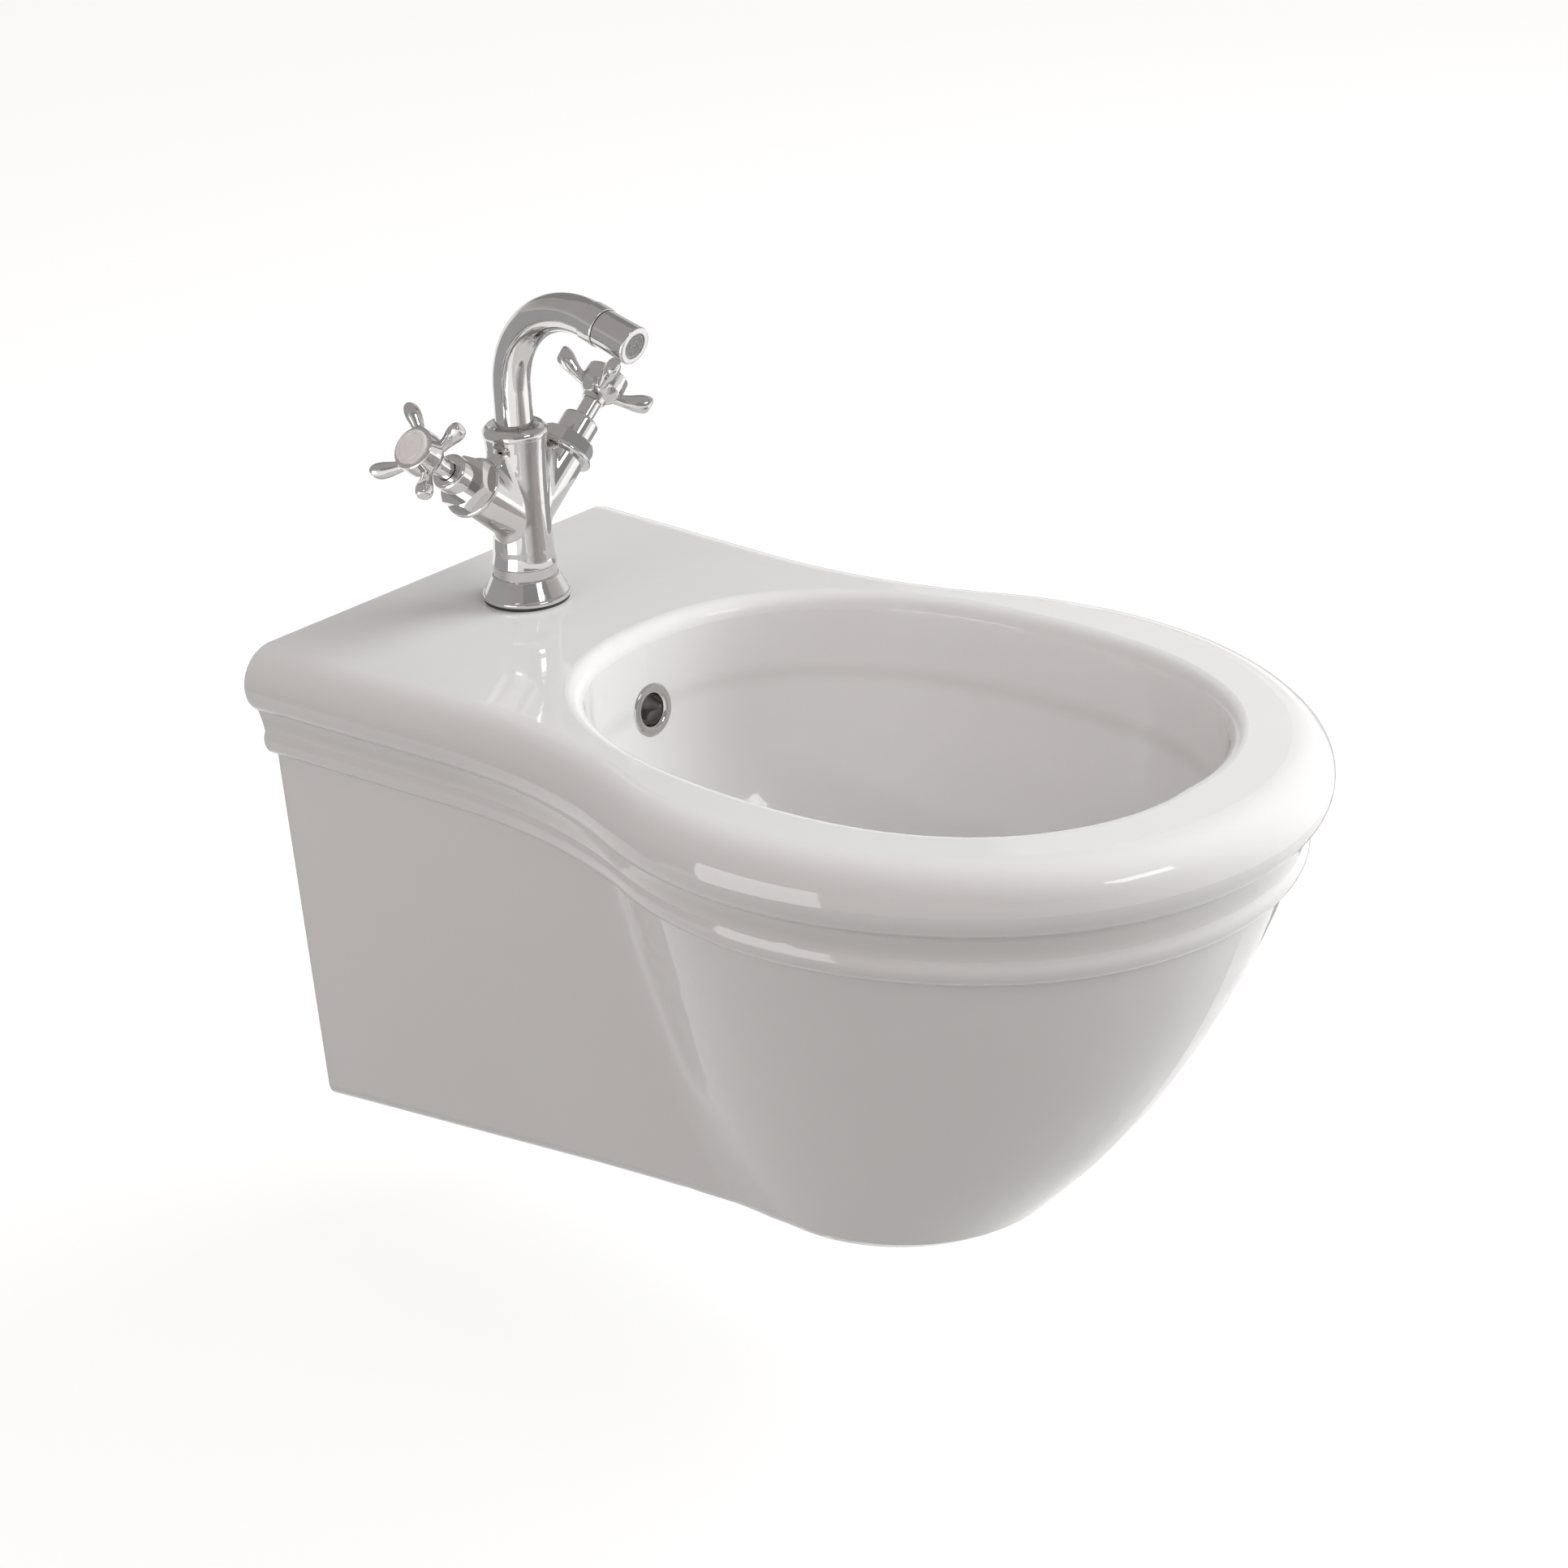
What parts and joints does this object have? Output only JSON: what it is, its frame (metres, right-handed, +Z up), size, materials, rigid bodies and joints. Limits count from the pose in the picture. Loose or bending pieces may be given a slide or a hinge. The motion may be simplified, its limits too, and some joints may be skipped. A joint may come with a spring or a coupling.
{
  "type": "wall-hung bidet with tap",
  "caption": "Wall-hung ceramic bidet with a moulded rim, cross-handle mixer tap with swivelling spout and nozzle, overflow and push-plug waste.",
  "frame": {"origin": "middle of the two wall fixings, on the wall plane", "axes": "+Z up, +Y into the wall, -Y out of the wall to the front of the bowl, +X to the right of someone facing the wall"},
  "size_m": [0.3558, 0.55, 0.4562],
  "materials": {
    "ceramic": "gloss",
    "chrome": "polished",
    "steel": "satin",
    "brass": "satin",
    "rubber": "matt",
    "plastic": "matt",
    "disc": "satin",
    "index": "gloss"
  },
  "bodies": {
    "bidet": {"ceramic_body": "ceramic", "overflow_ring": "chrome", "wall_sleeves": "plastic", "tap_base_seal": "rubber", "tap_base_ring": "chrome", "tap_body": "chrome", "tap_stud": "steel", "tap_rubber_washer": "rubber", "tap_clamp_plate": "steel", "tap_nut": "brass", "spout_collar": "chrome", "cold_bonnet": "chrome", "cold_shroud": "chrome", "cold_fixed_disc": "disc", "cold_seat_seal": "rubber", "hot_bonnet": "chrome", "hot_shroud": "chrome", "hot_fixed_disc": "disc", "hot_seat_seal": "rubber", "waste_body": "chrome", "waste_top_seal": "rubber", "waste_lower_seal": "rubber", "waste_back_nut": "brass", "plug_cartridge": "plastic"},
    "spout": {"spout": "chrome", "spout_o_rings": "rubber", "nozzle_ring": "chrome"},
    "nozzle_socket": {"nozzle_socket": "plastic"},
    "nozzle": {"nozzle_sleeve": "chrome", "aerator": "plastic"},
    "cold_handle": {"cold_handle": "chrome", "cold_index": "index", "cold_handle_screw": "steel", "cold_spindle": "chrome", "cold_moving_disc": "disc"},
    "hot_handle": {"hot_handle": "chrome", "hot_index": "index", "hot_handle_screw": "steel", "hot_spindle": "chrome", "hot_moving_disc": "disc"},
    "plug": {"plug_cap": "chrome", "plug_stem": "steel", "plug_seal": "rubber"}
  },
  "joints": [
    {"name": "cold_handle_turn", "type": "hinge", "parent": "bidet", "child": "cold_handle", "pos_m": [0, -0.07, 0.1385], "axis": [-0.766, 0, 0.6428], "range_deg": [0, 90]},
    {"name": "hot_handle_turn", "type": "hinge", "parent": "bidet", "child": "hot_handle", "pos_m": [0, -0.07, 0.1385], "axis": [0.766, 0, 0.6428], "range_deg": [0, 90]},
    {"name": "spout_swivel", "type": "hinge", "parent": "bidet", "child": "spout", "pos_m": [0, -0.07, 0.18], "axis": [0, 0, 1], "range_deg": [-45, 45]},
    {"name": "nozzle_swing", "type": "hinge", "parent": "spout", "child": "nozzle_socket", "pos_m": [0, -0.14469, 0.25528], "axis": [0, -0.2756, 0.9613], "range_deg": [-12, 12]},
    {"name": "nozzle_tilt", "type": "hinge", "parent": "nozzle_socket", "child": "nozzle", "pos_m": [0, -0.14469, 0.25528], "axis": [1, 0, 0], "range_deg": [-12, 12]},
    {"name": "plug_press", "type": "slide", "parent": "bidet", "child": "plug", "axis": [0, 0, 1], "range_m": [-0.008, 0], "stiffness_N_per_m": 400, "springref_m": 0.005}
  ]
}
